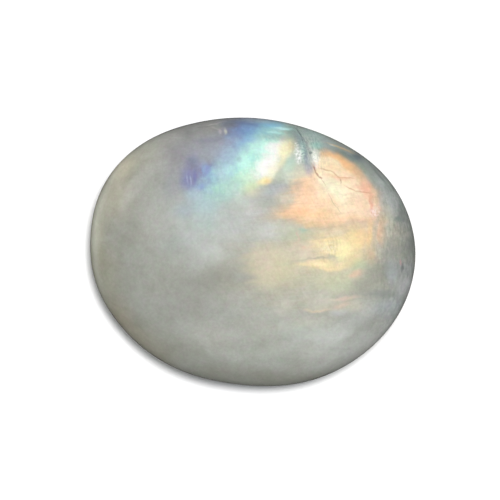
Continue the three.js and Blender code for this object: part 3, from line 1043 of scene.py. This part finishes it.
# %% Slate band beside the crack
BAND_STROKES = [
    ((146, 160, 156), 298, 136, 8, 4.5, -50, 1.4, 0.75),
    ((148, 168, 172), 302.8, 151, 19, 3.4, -74, 1.5, 0.85),
    ((248, 246, 232), 314.6, 158, 3.8, 7, 0, 1.5, 0.85),
    ((214, 226, 216), 311, 149, 3.4, 6, 20, 1.3, 0.6),
    ((226, 206, 196), 313.5, 166, 3, 3.5, 0, 1.3, 0.5),
    ((160, 170, 178), 306, 162, 9, 5, -80, 1.4, 0.5),
    ((182, 176, 188), 308, 170, 4, 4.5, 0, 1.3, 0.6),
    ((206, 208, 190), 299, 170, 6, 6, 0, 1.2, 0.4),
    ((180, 203, 197), 312, 134, 12, 5, -24, 1.3, 0.9),
    ((162, 210, 198), 316, 145, 6, 4, -10, 1.3, 0.75),
    ((164, 180, 176), 324, 142, 10, 3.6, -24, 1.3, 0.6),
    ((222, 230, 216), 314, 154, 4, 4, 0, 1.3, 0.7),
    ((150, 190, 178), 303, 147, 3, 5, 0, 1.3, 0.4),
    ((210, 216, 208), 310.5, 157, 2.4, 7, -8, 1.4, 0.65),
    ((224, 236, 222), 297, 154, 3, 8, 4, 1.3, 0.55),
    ((172, 186, 172), 300.5, 161, 2.3, 4, 0, 1.3, 0.5),
    ((168, 188, 188), 304, 131, 4, 4, 0, 1.3, 0.5),
]
colour = over(colour, tight, BAND_STROKES)
shreds = plates(turn=100.0, length=0.8, width=0.14, detail=4.0)
band_zone = stroke(tight, (4.3, 10.6, 2.6, 1.2, -66, 1.8, 1.0))
colour = weave(colour, band_zone, shreds, (0.66, 0.72, 0.74), (1.2, 1.2, 1.18))
CHIPS = [
    ((252, 255, 251), 297.5, 155, 7, 3.2, -84, 1.5, 1.0),
    ((250, 252, 246), 295.3, 144.5, 2, 1.5, 0, 1.5, 0.95),
    ((253, 253, 246), 313.5, 157.5, 7, 2.4, -78, 1.5, 1.0),
    ((214, 244, 226), 302, 152, 7, 2, -84, 1.4, 0.6),
    ((255, 236, 226), 373.5, 212, 4, 4, 0, 1.4, 0.9),
    ((255, 250, 220), 328, 248, 8, 6, 0, 1.4, 0.4),
    ((96, 112, 122), 309.2, 152, 4, 1.3, -80, 1.5, 0.45),
]
chip_grain = paint.noise(place_mm, 4.5, detail=2.0)
colour = flecks(colour, tight, CHIPS, chip_grain, low_step=0.4, high_step=0.58)
print("strokes in the band, and patches of chips:", len(BAND_STROKES), len(CHIPS))

# %% [markdown]
# ## Hairlines and grain
#
# The finest marks lie over all the rest. Healed hairlines are single threads, so each is a long, thin
# stroke, and so are the two pale arcs of painted light along the left rim, where light leaves the stone.
# A few small shades beside them are rounder strokes. Grain is everywhere, and one noise would look like
# sand. So four go over each other, from cloudy to fine, and each only shades what is there by a few parts
# in a hundred. One of them tints it from green to rose as well.

# %% Hairlines, and painted light on the left rim
HAIRLINES_AND_RIM_LIGHT = [
    # painted light: two pale arcs along the left rim
    ((240, 243, 228), 97, 214, 52, 3.4, 77, 1.0, 0.42, -2.9),
    ((226, 229, 214), 96, 262, 32, 3.2, 94, 1.0, 0.18, -1.6),
    ((240, 226, 184), 331, 260, 6, 3.6, 10, 1.2, 0.5),
    ((150, 146, 124), 325, 247, 6, 3.4, 5, 1.2, 0.1),
    ((120, 132, 134), 309.7, 152.5, 1.6, 1.2, 0, 1.5, 0.7),
    ((222, 200, 160), 339, 147, 11, 0.8, -19, 1.5, 0.85),
    ((206, 186, 148), 346, 150.5, 9, 0.7, -20, 1.5, 0.55),
    ((230, 230, 220), 331, 145, 3, 0.7, -24, 1.5, 0.6),
    ((120, 138, 134), 347, 156, 13, 3, -28, 1.3, 0.7),
    ((96, 110, 120), 356.5, 157, 5, 3, -30, 1.3, 0.7),
    ((150, 166, 150), 362, 168, 10, 3, -50, 1.3, 0.5),
    ((108, 120, 120), 379, 176, 12, 0.9, -50, 1.4, 0.5),
    ((192, 132, 102), 325, 169.8, 6, 0.6, -14, 1.4, 0.45),
    ((194, 134, 104), 334, 174, 5, 0.6, -38, 1.4, 0.5),
    ((206, 148, 114), 345, 177.6, 7, 0.6, -4, 1.4, 0.5),
    ((168, 116, 92), 339.7, 181, 0.6, 2.6, 8, 1.5, 0.55),
    ((200, 140, 110), 350, 188.3, 6, 0.6, -24, 1.4, 0.5),
    ((204, 134, 108), 362, 191.5, 7, 0.7, -8, 1.4, 0.45),
    ((190, 176, 150), 331, 200, 7, 0.5, -62, 1.5, 0.55),
    ((196, 182, 158), 338, 210, 4, 0.5, -52, 1.5, 0.5),
    ((206, 176, 150), 322, 181, 6, 0.5, -60, 1.5, 0.5),
    ((150, 104, 86), 313.5, 168.5, 3.5, 0.8, -76, 1.5, 0.7),
    ((150, 104, 86), 316.5, 174.5, 3, 0.8, -52, 1.5, 0.7),
    ((176, 120, 98), 319.5, 177.3, 1.8, 0.7, -14, 1.5, 0.6),
]
colour = over(colour, tight, HAIRLINES_AND_RIM_LIGHT)
print("hairlines:", len(HAIRLINES_AND_RIM_LIGHT))

# %% Grain
EVERYWHERE = 1.0
GRAINS = [  # waves per mm, then how dark the valleys and how pale the crests are
    (0.4, (0.93, 0.925, 0.905), (1.045, 1.055, 1.075)),
    (1.2, (0.95, 0.953, 0.95), (1.05, 1.05, 1.05)),
    (1.9, (1.03, 0.965, 1.025), (0.975, 1.03, 0.98)),
    (3.4, (0.94, 0.93, 0.94), (1.06, 1.07, 1.06)),
]
for waves, dark, pale in GRAINS:
    grain = paint.noise(place_mm, waves, detail=4.0, roughness=0.6, distortion=0.4)
    colour = weave(colour, EVERYWHERE, grain, dark, pale)
print("finest grain, in mm:", round(1 / GRAINS[-1][0], 2))

# %% [markdown]
# ## Polish
#
# Feldspar takes a soft, waxy polish. The gloss is nearly the same all over: tumbling leaves it faintly
# uneven, and it is dull only in the crack, where the skin is broken, and in patches on the foot, which
# every shelf has rubbed. One roughness value would look like plastic, so noise moves it a little.

# %% Cracks, and the foot rubbed dull
CRACK_SHADE, FOOT_FROST = 0.7, 0.35
POLISHED, WORN, BROKEN = 0.16, 0.24, 0.3  # the gloss's roughness, best and worst, and what a break adds
crack = paint.add("ShaderNodeAttribute", attribute_name="crack").outputs["Fac"]
# painted shade along the cracks, as strong as the crack layer says
colour = paint.mix(paint.math("MULTIPLY", crack, CRACK_SHADE), colour, seen(96, 108, 110))
near_foot = paint.between(height, -6.4, -7.2)
rubbed = paint.math("MULTIPLY", near_foot, paint.between(paint.noise(place_mm, 1.8), 0.3, 0.6))
colour = paint.mix(paint.math("MULTIPLY", rubbed, FOOT_FROST), colour, seen(196, 198, 190))
gloss = paint.between(paint.noise(place_mm, 0.8, detail=4.0), 0.3, 0.7, POLISHED, WORN)
broken = paint.math("MULTIPLY", paint.math("MAXIMUM", crack, rubbed), BROKEN)
roughness = paint.math("ADD", gloss, broken)
print("roughness, from polished to broken:", POLISHED, "to", round(WORN + BROKEN, 2))

# %% Ripples, scratches and the shader
RIPPLE_WAVES, SCRATCH_WAVES = 0.45, 7.0  # per mm
SCRATCH_SHARE = 0.02  # how high a scratch stands beside a ripple
RELIEF_HEIGHT, RELIEF_STRENGTH = 0.1, 0.25  # mm, and the part of it that the light feels
scratch = paint.math("MULTIPLY", paint.noise(place_mm, SCRATCH_WAVES, detail=2.0), SCRATCH_SHARE)
relief = paint.math("ADD", paint.noise(place_mm, RIPPLE_WAVES, detail=2.0), scratch)
bump = paint.add("ShaderNodeBump", {
    "Height": relief, "Strength": RELIEF_STRENGTH, "Distance": RELIEF_HEIGHT * MM,
}).outputs[0]
shader = paint.add("ShaderNodeBsdfPrincipled", {
    "Base Color": colour, "Roughness": roughness, "Normal": bump, "IOR": 1.52,
    "Coat Weight": 0.25, "Coat Roughness": 0.12,
})
paint.add("ShaderNodeOutputMaterial", {"Surface": shader.outputs[0]})
mesh.materials.append(feldspar)
print("nodes in the finish:", len(feldspar.node_tree.nodes))

# %% [markdown]
# ## Floor and light
#
# A pale floor, one broad lamp almost overhead and a little towards the back, and a dim white room around
# them. The lamp draws the thin shadow at the front and left, and leaves the rim darker. A dome mirrors its
# surroundings most at its rim, so glossy rays see a room that darkens towards the horizon, and neither
# the floor nor the lamp. Two soft windows stand in that room, because a polished stone shows its gloss by
# what it mirrors.

# %% Floor
FLOOR_SIZE = 3.0  # metres
floor_mesh = bpy.data.meshes.new("floor")
floor_bm = bmesh.new()
bmesh.ops.create_grid(floor_bm, x_segments=1, y_segments=1, size=FLOOR_SIZE / 2)
floor_bm.to_mesh(floor_mesh)
floor_bm.free()
floor = bpy.data.objects.new("floor", floor_mesh)
bpy.context.scene.collection.objects.link(floor)
floor_finish = bpy.data.materials.new("white_card")
floor_finish.use_nodes = True
MATT_CARD = {"Base Color": (0.9, 0.9, 0.9, 1), "Roughness": 0.9, "Specular IOR Level": 0.1}
for name, value in MATT_CARD.items():
    floor_finish.node_tree.nodes["Principled BSDF"].inputs[name].default_value = value
floor_mesh.materials.append(floor_finish)
print("floor is", FLOOR_SIZE, "m wide")

# %% Lamp
KEY_ZENITH, KEY_AZIMUTH, KEY_SIZE = 5.0, 63.0, 7.2  # degrees from overhead, round it, and across the lamp
KEY_STRENGTH = 3.1  # watts per square metre
lamp = bpy.data.lights.new("key", "SUN")
lamp.angle, lamp.energy = math.radians(KEY_SIZE), KEY_STRENGTH
key = bpy.data.objects.new("key", lamp)
bpy.context.scene.collection.objects.link(key)
lean = Matrix.Rotation(math.radians(KEY_ZENITH), 3, "Y")
key.rotation_euler = (Matrix.Rotation(math.radians(KEY_AZIMUTH), 3, "Z") @ lean).to_euler()
key.visible_glossy = False
floor.visible_glossy = False
print("lamp stands", KEY_ZENITH, "degrees from overhead")

# %% Room
AMBIENT = 0.32  # how bright the room is to all but the camera and the mirror rays
HORIZON, ROOM_AT_HORIZON, ROOM_OVERHEAD = -0.1, 0.05, 0.9  # where the mirrored room begins, and its levels
world = bpy.data.worlds.new("room")
bpy.context.scene.world = world
world.use_nodes = True
room = Bench(world.node_tree)
rays = room.add("ShaderNodeLightPath").outputs
sky_way = room.add("ShaderNodeTexCoord").outputs["Generated"]
upness = room.add("ShaderNodeSeparateXYZ", {0: sky_way}).outputs[2]
mirrored = room.between(upness, HORIZON, 1.0, ROOM_AT_HORIZON, ROOM_OVERHEAD)
WINDOWS = [  # azimuth and elevation, half width and half height, all in degrees, and brightness
    (-52, 24, 26, 12, 2.2), (150, 18, 18, 10, 1.6),
]
WINDOW_CRISPNESS = 3.0
for azimuth, elevation, wide, tall, glow in WINDOWS:
    ahead = facing(azimuth, elevation)
    aside = Vector((0, 0, 1)).cross(ahead).normalized()
    window = room.group(
        soft_stroke, place=sky_way, centre=ahead, along=aside / math.radians(wide),
        across=ahead.cross(aside) / math.radians(tall), down=ahead, crispness=WINDOW_CRISPNESS,
    )
    mirrored = room.math("ADD", mirrored, room.math("MULTIPLY", window, glow))
level = room.add("ShaderNodeMix", {0: rays["Is Glossy Ray"], 2: AMBIENT, 3: mirrored}).outputs[0]
level = room.add("ShaderNodeMix", {0: rays["Is Camera Ray"], 2: level, 3: 1.0}).outputs[0]
background = world.node_tree.nodes["Background"]
room.feed(background.inputs["Strength"], level)
background.inputs["Color"].default_value = (1, 1, 1, 1)
print("windows that only mirror rays see:", len(WINDOWS))

# %% [markdown]
# ## The camera
#
# The stone is looked at from straight above, and the camera's frame is as wide as the chart at the level
# where the stone is widest. A long lens from well away keeps the outline close to the true plan, and shows
# the narrow shadow that a near camera would lose behind the stone. The camera is rolled, because the stone
# lies askew on the chart and square in its own frame.

# %% Camera
LENS, SENSOR = 800.0, 36.0  # mm
AIM = (-0.25, 0.15)  # mm from the stone's middle to the frame's middle
girdle_height = BELLY_DEPTH - FOOT_CUT
camera_data = bpy.data.cameras.new("camera")
camera_data.lens, camera_data.sensor_width = LENS, SENSOR
camera_data.clip_start, camera_data.clip_end = 0.01, 10  # metres
camera = bpy.data.objects.new("camera", camera_data)
bpy.context.scene.collection.objects.link(camera)
camera.location = (AIM[0] * MM, AIM[1] * MM, (girdle_height + CHART_WIDTH * LENS / SENSOR) * MM)
camera.rotation_euler = (0, 0, math.radians(ROLL))
bpy.context.scene.camera = camera
bpy.context.scene.view_settings.view_transform = "Standard"
print("camera stands", round(camera.location.z / MM), "mm above the floor")
